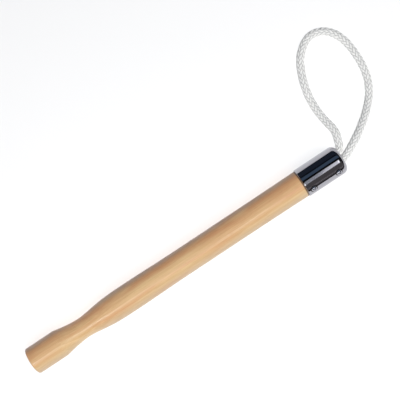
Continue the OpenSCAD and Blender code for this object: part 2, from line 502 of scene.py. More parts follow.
class BraidWeave(Effect):
    """Yarns and gaps of a round braid, each strand over two and under two."""

    NAME = "braid_weave"
    INPUTS = (
        ("Turn", "NodeSocketFloat", 0.0),
        ("Lays", "NodeSocketFloat", 0.0),
        ("Carriers", "NodeSocketFloat", 8.0),
        ("Yarns", "NodeSocketFloat", 4.0),
    )
    OUTPUTS = (("Yarn", "NodeSocketFloat"), ("Gap", "NodeSocketFloat"), ("Strand", "NodeSocketFloat"))

    def fill(self, graph: Graph, given: bpy.types.Node, result: bpy.types.Node) -> None:
        """Adds the nodes that find the strand on top and the place on it.

        Args:
            graph: Graph of the group's tree.
            given: Node that gives the group's inputs.
            result: Node that takes the group's outputs.
        """
        around = graph.math("MULTIPLY", given.outputs["Turn"], given.outputs["Carriers"])
        along = graph.math("MULTIPLY", given.outputs["Lays"], given.outputs["Carriers"])
        right, left = graph.math("ADD", around, along), graph.math("SUBTRACT", around, along)
        cells = graph.math("ADD", graph.math("FLOOR", right), graph.math("FLOOR", left))
        over = graph.math("LESS_THAN", graph.math("FLOORED_MODULO", cells, 4.0), 1.5)
        across = graph.pick(over, graph.math("FRACT", left), graph.math("FRACT", right))
        start = graph.pick(over, graph.math("FRACT", right), graph.math("FRACT", left))
        run = graph.math("MULTIPLY", graph.math("ADD", start, graph.math("FLOORED_MODULO", cells, 2.0)), 0.5)
        phase = graph.math("MULTIPLY_ADD", across, given.outputs["Yarns"], run)
        wave = graph.math("COSINE", graph.math("MULTIPLY", phase, 2.0 * math.pi))
        graph.put(result.inputs["Yarn"], graph.math("MULTIPLY_ADD", wave, 0.5, 0.5))
        side = graph.math("ABSOLUTE", graph.math("MULTIPLY_ADD", across, 2.0, -1.0))
        end = graph.math("ABSOLUTE", graph.math("MULTIPLY_ADD", run, 2.0, -1.0))
        gap = graph.math("MAXIMUM", graph.math("POWER", side, 5.0), graph.math("POWER", end, 7.0))
        graph.put(result.inputs["Gap"], gap)
        lot = graph.pick(over, graph.math("FLOOR", left), graph.math("ADD", graph.math("FLOOR", right), 40.5))
        draw = graph.node("ShaderNodeTexWhiteNoise", {"W": lot}, noise_dimensions="1D")
        graph.put(result.inputs["Strand"], draw.outputs["Value"])


# ---------------------------------------------------------------------------------------------
# Finishes
# ---------------------------------------------------------------------------------------------


def fresh_material(
    name: str, show: Colour
) -> tuple[Graph, bpy.types.Node, bpy.types.NodeSocket, bpy.types.Material]:
    """Makes an empty material.

    Args:
        name: Name of the material.
        show: Colour in the plain view.

    Returns:
        Its graph, its Principled shader, the place vector of the surface, and the material.
    """
    made = bpy.data.materials.new(name)
    made.use_nodes = True
    made.diffuse_color = (*show, 1.0)
    made.node_tree.nodes.clear()
    graph = Graph(made.node_tree)
    shader = graph.node("ShaderNodeBsdfPrincipled")
    graph.node("ShaderNodeOutputMaterial", {"Surface": shader.outputs[0]})
    place = graph.node("ShaderNodeTexCoord").outputs["Object"]
    return graph, shader, place, made


@dataclass(frozen=True)
class VarnishedWood:
    """Pale turned hardwood under clear varnish.

    Attributes:
        name: Name of the finish.
        pale: Colour of the early wood.
        honey: Colour of the late wood, at the ends of the rings.
        warm_streak_and_shade: Colour of the warmer wood in its streaks, and of the painted shade rising
            across the +Y side.
        shade_side: Colour of the painted shade on the +Y side, away from the lamps.
        edge_sheen_and_shade: Colour of the painted sheen and shade on the -Y edge, greyer and darker.
        pore: Colour in the pores.
        sunny: Colour of the yellowest wood, in soft blotches.
        shade_ring: Colour of the painted shade at the cap's mouth, where the wood meets the cap.
        coat: Weight of the varnish.
        rough: Roughness of the wood below it.
        rings: How clearly the rings show.
        shade_ring_x: Place of the cap's mouth, where the painted shade lies.
    """

    name: str = "varnished_wood"
    pale: Colour = (0.69, 0.485, 0.262)
    honey: Colour = (0.585, 0.37, 0.17)
    warm_streak_and_shade: Colour = (0.60, 0.315, 0.155)
    shade_side: Colour = (0.31, 0.18, 0.122)
    edge_sheen_and_shade: Colour = (0.42, 0.36, 0.26)
    pore: Colour = (0.36, 0.20, 0.09)
    sunny: Colour = (0.74, 0.56, 0.30)
    shade_ring: Colour = (0.07, 0.04, 0.025)
    coat: float = 0.4
    rough: float = 0.40
    rings: float = 0.6
    shade_ring_x: float = 0.168

    def material(self) -> bpy.types.Material:
        """Returns the material of this finish.

        Returns:
            The finished material.
        """
        graph, shader, place, made = fresh_material(self.name, self.pale)
        grain = WoodGrain().place(graph, Place=place)
        scuffs = Scuffs().place(graph, Place=place, Amount=0.6, Size=0.03)
        tone = graph.blend(graph.math("MULTIPLY", grain.outputs["Rings"], self.rings), self.pale, self.honey)
        spot = graph.node("ShaderNodeSeparateXYZ", {0: place})
        across = spot.outputs["Y"]
        blotch = graph.noise(graph.stretched(place, (16.0, 75.0, 75.0)), 1.0, 2.0)
        streaks = graph.spread(grain.outputs["Streaks"], 0.45, 0.68, (0.0, 0.5))
        streaks = graph.math("ADD", streaks, graph.spread(blotch, 0.5, 0.7, (0.0, 0.35)))
        # The streaks are the wood's own tone; the rise across +Y is painted shade on the side away from the
        # lamps.
        side = graph.math("ADD", graph.spread(across, 0.0, 0.010, (0.0, 0.6)), streaks)
        tone = graph.blend(graph.math("MINIMUM", side, 0.9), tone, self.warm_streak_and_shade)
        tone = graph.blend(graph.spread(blotch, 0.48, 0.3, (0.0, 0.45)), tone, self.sunny)
        # Painted shade: the +Y side, away from the lamps, is darkened towards its edge.
        tone = graph.blend(graph.spread(across, 0.011, 0.018, (0.0, 0.85)), tone, self.shade_side)
        # Painted sheen and shade: the -Y edge is greyed and darkened as the floor's reflection and the
        # falloff would show it.
        tone = graph.blend(graph.spread(across, -0.006, -0.0155, (0.0, 0.5)), tone, self.edge_sheen_and_shade)
        fibres = graph.spread(grain.outputs["Fibres"], 0.35, 0.65, (0.0, 0.22))
        tone = graph.blend(fibres, tone, self.honey, "MULTIPLY")
        tone = graph.blend(graph.math("MULTIPLY", grain.outputs["Pores"], 0.35), tone, self.pore)
        # Painted shade: a dark band on the wood just outside the cap's mouth, where the joint lies in shade.
        ring = graph.spread(spot.outputs["X"], self.shade_ring_x - 0.0022, self.shade_ring_x - 0.0012, (0.0, 0.9))
        tone = graph.blend(ring, tone, self.shade_ring)
        graph.put(shader.inputs["Base Color"], tone)
        haze = scuffs.outputs["Haze"]
        graph.put(shader.inputs["Roughness"], graph.spread(haze, 0.0, 0.6, (self.rough, self.rough + 0.12)))
        cuts = graph.math("MULTIPLY", scuffs.outputs["Mask"], -0.6)
        height = graph.math("ADD", grain.outputs["Fibres"], cuts)
        graph.put(shader.inputs["Normal"], graph.bump(height, 0.00006))
        graph.put(shader.inputs["Coat Weight"], graph.spread(haze, 0.0, 0.6, (self.coat, self.coat - 0.15)))
        shader.inputs["Coat Roughness"].default_value = 0.12
        shader.inputs["Coat IOR"].default_value = 1.48
        return made


@dataclass(frozen=True)
class BareWood:
    """Bare end grain and the drilled hole, darker and without varnish.

    Attributes:
        name: Name of the finish.
        light: Colour of the early wood.
        dark: Colour of the rings.
        deep: Colour of the painted shade down the hole and on the wood's end inside the cap.
        end_x: Place of the wood's end.
    """

    name: str = "bare_wood"
    light: Colour = (0.60, 0.40, 0.22)
    dark: Colour = (0.40, 0.235, 0.11)
    deep: Colour = (0.05, 0.03, 0.02)
    end_x: float = 0.2175

    def material(self) -> bpy.types.Material:
        """Returns the material of this finish.

        Returns:
            The finished material.
        """
        graph, shader, place, made = fresh_material(self.name, self.light)
        grain = WoodGrain().place(graph, Place=place, Waver=0.002)
        tone = graph.blend(graph.math("MULTIPLY", grain.outputs["Rings"], 0.8), self.light, self.dark)
        tone = graph.blend(graph.math("MULTIPLY", grain.outputs["Pores"], 0.6), tone, self.dark)
        spot = graph.node("ShaderNodeSeparateXYZ", {0: place})
        # Painted shade: darkest down the hole, lighter at the wood's end, which lies inside the cap.
        down = graph.spread(spot.outputs["X"], self.end_x - 0.007, self.end_x + 0.001, (0.95, 0.35))
        tone = graph.blend(down, tone, self.deep)
        graph.put(shader.inputs["Base Color"], tone)
        graph.put(shader.inputs["Roughness"], graph.spread(grain.outputs["Fibres"], 0.2, 0.8, (0.6, 0.8)))
        graph.put(shader.inputs["Normal"], graph.bump(grain.outputs["Fibres"], 0.0002))
        return made


@dataclass(frozen=True)
class BrightSteel:
    """Plated steel with rubbed edges, fine scratches, dirt in its hollows and painted shade round given
    points.

    Attributes:
        name: Name of the finish.
        plate: Colour of the plating.
        bare: Colour of the steel where the plating is rubbed.
        dirt_and_shade: Colour of the dirt in the hollows, and of the painted shade rings.
        rough: Roughness of clean plating.
        wave: Depth of the slow waves in the sheet, in metres.
        scratch: Amount of scratches.
        shade_ring: Points with a ring of painted shade round them, in metres.
    """

    name: str
    plate: Colour = (0.40, 0.395, 0.43)
    bare: Colour = (0.48, 0.47, 0.46)
    dirt_and_shade: Colour = (0.05, 0.045, 0.04)
    rough: float = 0.05
    wave: float = 0.00015
    scratch: float = 0.5
    shade_ring: tuple[Point, ...] = ()

    def material(self) -> bpy.types.Material:
        """Returns the material of this finish.

        Returns:
            The finished material.
        """
        graph, shader, place, made = fresh_material(self.name, self.plate)
        scuffs = Scuffs().place(graph, Place=place, Amount=self.scratch, Size=0.012)
        wear = EdgeWear().place(graph, Place=place, Rub=0.8)
        tone = graph.blend(wear.outputs["Edges"], self.plate, self.bare)
        tone = graph.blend(graph.math("MULTIPLY", wear.outputs["Hollows"], 0.7), tone, self.dirt_and_shade)
        # Painted shade: a dark ring round each screw head, where the head sits on the cap.
        for spot in self.shade_ring:
            reach = graph.node("ShaderNodeVectorMath", {0: place, 1: spot}, operation="DISTANCE")
            ring = graph.spread(reach.outputs["Value"], 0.0044, 0.0052, (0.95, 0.0))
            tone = graph.blend(ring, tone, self.dirt_and_shade)
        graph.put(shader.inputs["Base Color"], tone)
        hollows = graph.math("MULTIPLY", wear.outputs["Hollows"], 0.8)
        worn = graph.math("MAXIMUM", wear.outputs["Edges"], hollows)
        cuts = graph.math("MULTIPLY", scuffs.outputs["Mask"], 0.25)
        marks = graph.math("ADD", cuts, graph.math("MULTIPLY", scuffs.outputs["Haze"], 0.08))
        rough = graph.math("ADD", marks, graph.math("MULTIPLY_ADD", worn, 0.3, self.rough))
        graph.put(shader.inputs["Roughness"], rough)
        shader.inputs["Metallic"].default_value = 1.0
        slow = graph.bump(graph.noise(graph.stretched(place, (24.0, 95.0, 95.0)), 1.0, 1.0), self.wave)
        graph.put(shader.inputs["Normal"], graph.bump(scuffs.outputs["Mask"], -0.00001, 1.0, slow))
        return made


@dataclass(frozen=True)
class BraidedCord:
    """White synthetic yarn, braided.

    Attributes:
        name: Name of the finish.
        clean: Colour of the yarn.
        grey: Colour of slightly soiled strands.
        deep: Colour of the painted shade in the gaps between strands and between yarns.
        carriers: Strands in each direction.
    """

    name: str = "white_braid"
    clean: Colour = (0.92, 0.92, 0.905)
    grey: Colour = (0.83, 0.835, 0.82)
    deep: Colour = (0.26, 0.26, 0.26)
    carriers: int = 8

    def material(self) -> bpy.types.Material:
        """Returns the material of this finish.

        Returns:
            The finished material.
        """
        graph, shader, place, made = fresh_material(self.name, self.clean)
        unrolled = graph.node("ShaderNodeUVMap", uv_map="braid").outputs[0]
        spot = graph.node("ShaderNodeSeparateXYZ", {0: unrolled})
        values = {"Turn": spot.outputs["X"], "Lays": spot.outputs["Y"], "Carriers": float(self.carriers)}
        weave = BraidWeave().place(graph, **values)
        soil = graph.spread(graph.noise(place, 45.0, 3.0), 0.4, 0.7, (0.0, 0.55))
        lots = graph.math("ADD", soil, graph.spread(weave.outputs["Strand"], 0.0, 1.0, (0.0, 0.3)))
        tone = graph.blend(lots, self.clean, self.grey)
        # Painted shade: the gaps between strands and the grooves between yarns are darkened.
        between = graph.math("MULTIPLY_ADD", weave.outputs["Yarn"], -0.12, 0.12)
        dark = graph.math("ADD", graph.math("MULTIPLY", weave.outputs["Gap"], 0.8), between)
        tone = graph.blend(graph.math("MINIMUM", dark, 1.0), tone, self.deep)
        graph.put(shader.inputs["Base Color"], tone)
        fuzz = graph.noise(graph.stretched(place, (2600.0, 2600.0, 2600.0)), 1.0, 2.0)
        graph.put(shader.inputs["Roughness"], graph.spread(fuzz, 0.3, 0.7, (0.62, 0.82)))
        height = graph.math("MULTIPLY_ADD", fuzz, 0.35, weave.outputs["Yarn"])
        graph.put(shader.inputs["Normal"], graph.bump(height, 0.00012))
        shader.inputs["Sheen Weight"].default_value = 0.25
        shader.inputs["Sheen Roughness"].default_value = 0.5
        return made


# ---------------------------------------------------------------------------------------------
# The tool's pieces
# ---------------------------------------------------------------------------------------------


@dataclass(frozen=True)
class Frame:
    """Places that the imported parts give.

    Attributes:
        butt_x: Butt face of the handle.
        end_x: End of the cap.
        mouth_x: Mouth of the cap.
        cap_r: Outer radius of the cap.
    """

    butt_x: float
    end_x: float
    mouth_x: float
    cap_r: float

    @classmethod
    def read(cls) -> "Frame":
        """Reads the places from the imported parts' boxes."""
        low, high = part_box("cap")
        return cls(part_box("handle")[0].x, high.x, low.x, (high.z - low.z) / 2)

    @property
    def axis_z(self) -> float:
        """Height of the handle's axis; the cap rests on the ground."""
        return self.cap_r


@dataclass
class RopeLoop:
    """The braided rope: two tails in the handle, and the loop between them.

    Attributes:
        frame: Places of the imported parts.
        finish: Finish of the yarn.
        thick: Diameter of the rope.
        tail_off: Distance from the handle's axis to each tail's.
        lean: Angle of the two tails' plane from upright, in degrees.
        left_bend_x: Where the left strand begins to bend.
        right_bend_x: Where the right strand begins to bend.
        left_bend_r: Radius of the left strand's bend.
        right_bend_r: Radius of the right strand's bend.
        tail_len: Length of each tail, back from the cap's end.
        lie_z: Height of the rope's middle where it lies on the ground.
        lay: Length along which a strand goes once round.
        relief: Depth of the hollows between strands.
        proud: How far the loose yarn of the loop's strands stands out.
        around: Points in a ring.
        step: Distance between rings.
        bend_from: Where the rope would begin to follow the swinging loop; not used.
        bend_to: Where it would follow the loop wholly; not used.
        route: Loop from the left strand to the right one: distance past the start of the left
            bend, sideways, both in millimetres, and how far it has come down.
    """

    frame: Frame
    finish: BraidedCord
    thick: float = 0.010
    tail_off: float = 0.0051
    lean: float = 45.0
    left_bend_x: float = 0.21577
    right_bend_x: float = 0.21617
    left_bend_r: float = 0.020
    right_bend_r: float = 0.045
    tail_len: float = 0.027
    lie_z: float = 0.0051
    lay: float = 0.049
    relief: float = 0.0011
    proud: float = 0.0003
    around: int = 88
    step: float = 0.0004
    bend_from: Point = (0.227, 0.001, 0.0186)
    bend_to: Point = (0.252, 0.026, 0.0186)
    route: tuple[Point, ...] = (
        (18, 18, 0.03), (21, 26, 0.15), (22, 34, 0.35), (20.5, 44, 0.65), (19, 56, 0.9),
        (18.5, 69, 1), (19.5, 83, 1), (22.5, 97, 1), (27.5, 111.5, 1), (35, 126, 1),
        (45, 137, 1), (58, 144.5, 1), (70, 144.5, 1), (81.5, 139, 1), (90, 128.5, 1),
        (95, 114, 1), (96.5, 98, 1), (96, 81, 1), (92.5, 63.5, 1), (84.5, 47.5, 1),
        (73, 34.5, 0.88), (60, 24, 0.6), (47, 15.5, 0.3), (35.5, 9, 0.1), (25, 3.5, 0.02),
    )
    line: np.ndarray = field(init=False)

    def __post_init__(self) -> None:
        """Works out the rope's middle line."""
        self.line = self.middle_line()

    def strand(self, side: int, turn: float) -> np.ndarray:
        """Returns a point on a strand's bend.

        Args:
            side: 1 for the left strand, -1 for the right one.
            turn: Angle in degrees from straight along the handle.

        Returns:
            The point on the middle of the rope.
        """
        off = self.tail_off * math.sin(math.radians(self.lean))
        rise = self.tail_off * math.cos(math.radians(self.lean))
        start, radius = self.right_bend_x, self.right_bend_r
        if side > 0:
            start, radius = self.left_bend_x, self.left_bend_r
        angle = math.radians(turn)
        x = start + radius * math.sin(angle)
        y = side * off + radius * (1.0 - math.cos(angle))
        return np.array([x, y, self.frame.axis_z - side * rise])

    def middle_line(self) -> np.ndarray:
        """Returns evenly spaced points along the rope's middle, from tail to tail.

        Returns:
            The points, one to a row.
        """
        high = self.strand(1, 0)[2], self.strand(-1, 0)[2]
        loop = [self.strand(1, 35), self.strand(1, 55)]
        for i, (x, y, down) in enumerate(self.route):
            z = high[0] if i < len(self.route) / 2 else high[1]
            loop.append(np.array([self.left_bend_x + x * MM, y * MM, z + down * (self.lie_z - z)]))
        loop += [self.strand(-1, 27), self.strand(-1, 17)]
        curve = [self.strand(1, t) for t in np.arange(0.0, 55.0, 3.0)]
        for i in range(1, len(loop) - 2):
            a, b, c, d = loop[i - 1 : i + 3]
            for u in np.arange(0.0, 1.0, 0.05):
                square, cube = 2 * a - 5 * b + 4 * c - d, 3 * b - a - 3 * c + d
                curve.append(0.5 * (2 * b + u * (c - a) + u**2 * square + u**3 * cube))
        curve += [self.strand(-1, t) for t in np.arange(27.0, -0.1, -3.0)]
        back = self.frame.end_x - self.tail_len
        first, last = curve[0].copy(), curve[-1].copy()
        first[0] = last[0] = back
        return self.eased(self.evened(np.array([first, *curve, last])))

    def evened(self, points: np.ndarray) -> np.ndarray:
        """Returns points spaced evenly along a line of points.

        Args:
            points: Points of the line.

        Returns:
            The evenly spaced points.
        """
        run = np.concatenate([[0.0], np.cumsum(np.linalg.norm(np.diff(points, axis=0), axis=1))])
        at = np.linspace(0.0, run[-1], round(run[-1] / self.step) + 1)
        return np.stack([np.interp(at, run, points[:, k]) for k in range(3)], axis=1)

    def eased(self, points: np.ndarray) -> np.ndarray:
        """Returns the line with its small kinks eased out, and its ends where they were.

        Args:
            points: Points of the line.

        Returns:
            The smoother points.
        """
        reach = round(0.006 / self.step)
        weight = np.exp(-0.5 * (np.arange(-reach, reach + 1) * self.step / 0.0025) ** 2)
        weight /= weight.sum()
        first, last = points[0], points[-1]
        ahead, behind = points[1] - first, last - points[-2]
        before = first + ahead * np.arange(-reach, 0)[:, None]
        after = last + behind * np.arange(1, reach + 1)[:, None]
        long = np.vstack([before, points, after])
        return self.evened(np.stack([np.convolve(long[:, k], weight, "valid") for k in range(3)], axis=1))

    @property
    def length(self) -> float:
        """Length of the whole rope, with its tails."""
        return float(np.linalg.norm(np.diff(self.line, axis=0), axis=1).sum())

    def ring_axes(self) -> tuple[np.ndarray, np.ndarray]:
        """Returns two directions square to the line at each point, turned as little as can be.

        Returns:
            The two directions at each point.
        """
        ahead = np.gradient(self.line, axis=0)
        ahead /= np.linalg.norm(ahead, axis=1)[:, None]
        side = np.zeros_like(ahead)
        side[0] = (0.0, 1.0, 0.0)
        for i in range(1, len(ahead)):
            flat = side[i - 1] - ahead[i] * np.dot(side[i - 1], ahead[i])
            side[i] = flat / np.linalg.norm(flat)
        return side, np.cross(ahead, side)

    def braid_depth(self, turn: np.ndarray, lays: np.ndarray) -> np.ndarray:
        """Returns how far the surface lies below the crests, from 0 to 1.

        Args:
            turn: Share of a turn round the rope.
            lays: Distance along the rope in lays.

        Returns:
            The depth at each place.
        """
        n = self.finish.carriers
        right, left = n * (turn + lays), n * (turn - lays)
        cells = np.floor(right) + np.floor(left)
        over = np.mod(cells, 4) < 1.5
        fr, fl = np.mod(right, 1.0), np.mod(left, 1.0)
        across = np.where(over, fr, fl)
        run = (np.where(over, fl, fr) + np.mod(cells, 2)) / 2
        crown = np.sqrt(np.clip(1.0 - (2 * across - 1) ** 2, 0, 1))
        dip = 0.15 + 0.85 * np.sqrt(np.clip(np.sin(math.pi * run), 0, 1))
        return 1.0 - crown * dip

    def build(self) -> bpy.types.Object:
        """Returns the braided rope as one tube.

        Returns:
            The rope's object.
        """
        side, top = self.ring_axes()
        count, n = len(self.line), self.around
        turn = np.linspace(0.0, 1.0, n, endpoint=False)
        lays = np.arange(count) * self.step / self.lay
        turns, runs = np.meshgrid(turn, lays)
        radius = self.thick / 2 - self.relief * self.braid_depth(turns, runs)
        inside = smooth_step((self.line[:, 0] - self.frame.end_x) / 0.012)[:, None]
        radius += self.proud * inside * (1 + 0.4 * np.sin(9.0 * runs + 3.0 * np.sin(5.3 * runs)))
        angle = 2 * math.pi * turns
        ring = np.cos(angle)[..., None] * side[:, None] + np.sin(angle)[..., None] * top[:, None]
        points = (self.line[:, None] + radius[..., None] * ring).reshape(-1, 3)
        points[:, 2] = np.maximum(points[:, 2], 0.00005)
        points = np.vstack([points, self.line[0], self.line[-1]])
        faces, spots = [], []
        for i in range(count - 1):
            a = i * n
            for k in range(n):
                m = (k + 1) % n
                faces.append((a + k, a + m, a + n + m, a + n + k))
                u, w = k / n, (k + 1) / n
                spots += [(u, lays[i]), (w, lays[i]), (w, lays[i + 1]), (u, lays[i + 1])]
        tail = (count - 1) * n
        for k in range(n):
            m = (k + 1) % n
            faces += [(len(points) - 2, m, k), (len(points) - 1, tail + k, tail + m)]
            spots += [(0.5 / n, lays[0])] * 3 + [(0.5 / n, lays[-1])] * 3
        obj = link_mesh("rope", points, faces)
        layer = obj.data.uv_layers.new(name="braid")
        layer.data.foreach_set("uv", np.array(spots, dtype=np.float32).ravel())
        shade(obj.data, 180)
        return obj

    def dress(self, obj: bpy.types.Object) -> None:
        """Gives the rope its yarn, hides the imported rope parts, and bakes its place into its mesh.

        Args:
            obj: Object to dress.
        """
        obj.data.materials.append(self.finish.material())
        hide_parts("rope_loop", "rope_tail_left", "rope_tail_right")
        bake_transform(obj)


@dataclass
class Handle:
    """The turned hardwood handle, with the drilled hole that holds the rope's tails.

    Attributes:
        frame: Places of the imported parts.
        varnish: Finish of the turned outside.
        end_grain: Finish of the butt's flat face.
        bare: Finish of the hole and the wood's end.
        stations: Distance from the butt face, radius and slope along the turned outside.
        butt_edge: Radius of the butt's rounded edge.
        fill_r: Radius of the wood inside the cap.
        wood_end: Distance from the butt face to the wood's end.
        hole_r: Radius of the rope's hole.
        hole_len: Depth of the hole from the wood's end, without its drill point.
        hole_mouth: Chamfer of the hole's mouth.
        steps: Rings between two stations.
    """

    frame: Frame
    varnish: VarnishedWood
    end_grain: VarnishedWood
    bare: BareWood
    stations: tuple[Point, ...] = (
        (0.0395, 0.0174, -0.10), (0.0539, 0.01487, -0.135), (0.0755, 0.01295, 0.02),
        (0.09845, 0.01544, 0.125), (0.11375, 0.01709, 0.06), (0.152, 0.01765, 0.0),
        (0.215, 0.01695, 0.0), (0.318, 0.01695, 0.0), (0.393, 0.0173, 0.0),
    )
    butt_edge: float = 0.0025
    fill_r: float = 0.0173
    wood_end: float = 0.44253
    hole_r: float = 0.0107
    hole_len: float = 0.02153
    hole_mouth: float = 0.0015
    steps: int = 28

    def outside(self) -> list[tuple[float, float]]:
        """Returns the turned outside, as distances and radii from the butt's edge to the wood's end.

        Returns:
            The points of the outline.
        """
        edge, first = self.butt_edge, self.stations[0]
        rounded = arc((edge, first[1] - edge), edge, -90, 0, 8)
        straight = [(x, first[1]) for x in np.linspace(edge, first[0], 14)[1:-1]]
        turned = []
        for (xa, ra, sa), (xb, rb, sb) in zip(self.stations, self.stations[1:]):
            w = xb - xa
            for u in np.linspace(0.0, 1.0, self.steps, endpoint=False):
                start = (2 * u**3 - 3 * u**2 + 1) * ra + (u**3 - 2 * u**2 + u) * w * sa
                end = (3 * u**2 - 2 * u**3) * rb + (u**3 - u**2) * w * sb
                turned.append((xa + u * w, start + end))
        filling = [(self.stations[-1][0], self.fill_r), (self.wood_end - 0.0006, self.fill_r)]
        return rounded + straight + turned + filling

    def inside(self) -> list[tuple[float, float]]:
        """Returns the wood's end and the hole, from the outside inwards.

        Returns:
            The points of the outline.
        """
        mouth = self.wood_end - self.hole_mouth
        bottom = self.wood_end - self.hole_len
        point = bottom - self.hole_r * math.tan(math.radians(31))
        return [
            (self.wood_end, self.fill_r - 0.0006),
            (self.wood_end, self.hole_r + self.hole_mouth),
            (mouth, self.hole_r),
            *[(x, self.hole_r) for x in np.linspace(mouth, bottom, 8)[1:]],
            (point, 0.0004),
        ]

    def build(self) -> bpy.types.Object:
        """Returns the turned handle.

        Returns:
            The handle's object.
        """
        face = [(0.0, r) for r in np.linspace(0.001, self.stations[0][1] - self.butt_edge, 7)[:-1]]
        outline = np.array(face + self.outside() + self.inside())
        outline[:, 0] += self.frame.butt_x
        obj = Turning("handle_wood", outline, around=192).make(along_tool(self.frame.axis_z))
        shade(obj.data, 50)
        return obj

    def dress(self, obj: bpy.types.Object) -> None:
        """Varnishes the outside and the butt's face, and leaves the hole bare.

        Args:
            obj: Object to dress.
        """
        for finish in (self.varnish, self.bare, self.end_grain):
            obj.data.materials.append(finish.material())
        end_x = self.frame.butt_x + self.wood_end - 0.0003
        for face in obj.data.polygons:
            x, y, z = face.center
            deep = math.hypot(y, z - self.frame.axis_z) < self.hole_r + self.hole_mouth
            face.material_index = int(x > end_x or (deep and x > self.frame.mouth_x))
            if x < self.frame.butt_x + 0.0003:
                face.material_index = 2
        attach(obj, Body.HANDLE.value)
        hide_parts("handle")


@dataclass
class EndCap:
    """The chromed tube over the handle's end, with its end rolled in round the rope.

    Attributes:
        frame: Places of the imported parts.
        finish: Finish of the plating.
        wall: Thickness of the steel.
        roll_r: Outer radius of the rolled corner.
        open_r: Radius of the opening that the roll leaves.
        lip: Radius of the mouth's softened edge.
    """

    frame: Frame
    finish: BrightSteel
    wall: float = 0.0012
    roll_r: float = 0.0075
    open_r: float = 0.0129
    lip: float = 0.00055

    def outline(self) -> np.ndarray:
        """Returns the wall's outline, once round: outside, roll, inside and mouth.

        Returns:
            The points of the outline.
        """
        outer = self.frame.cap_r
        middle = self.roll_r - self.wall / 2
        hub = outer - self.roll_r
        turn = math.acos((self.open_r + self.wall / 2 - hub) / middle)
        corner_x = self.frame.end_x - middle * math.sin(turn) - self.wall / 2
        degrees = math.degrees(turn)
        rim = (corner_x + middle * math.sin(turn), hub + middle * math.cos(turn))
        start = self.frame.mouth_x
        outside = arc((start + self.lip, outer - self.lip), self.lip, -90, 0, 5)
        outside += [(x, outer) for x in np.linspace(start + self.lip, corner_x, 40)[1:-1]]
        roll = arc((corner_x, hub), self.roll_r, 0, degrees, 28)
        edge = arc(rim, self.wall / 2, degrees, degrees + 180, 12)[1:-1]
        back = arc((corner_x, hub), self.roll_r - self.wall, degrees, 0, 24)
        inner = outer - self.wall
        inside = [(x, inner) for x in np.linspace(corner_x, start + self.lip, 20)[1:-1]]
        mouth = arc((start + self.lip, inner + self.lip), self.lip, 180, 270, 5)
        return np.array(outside + roll + edge + back + inside + mouth)

    def build(self) -> bpy.types.Object:
        """Returns the cap.

        Returns:
            The cap's object.
        """
        obj = Turning("end_cap", self.outline(), around=192, closed=True).make(along_tool(self.frame.axis_z))
        shade(obj.data, 60)
        return obj

    def dress(self, obj: bpy.types.Object) -> None:
        """Plates the cap.

        Args:
            obj: Object to dress.
        """
        obj.data.materials.append(self.finish.material())
        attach(obj, Body.HANDLE.value)
        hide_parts("cap")


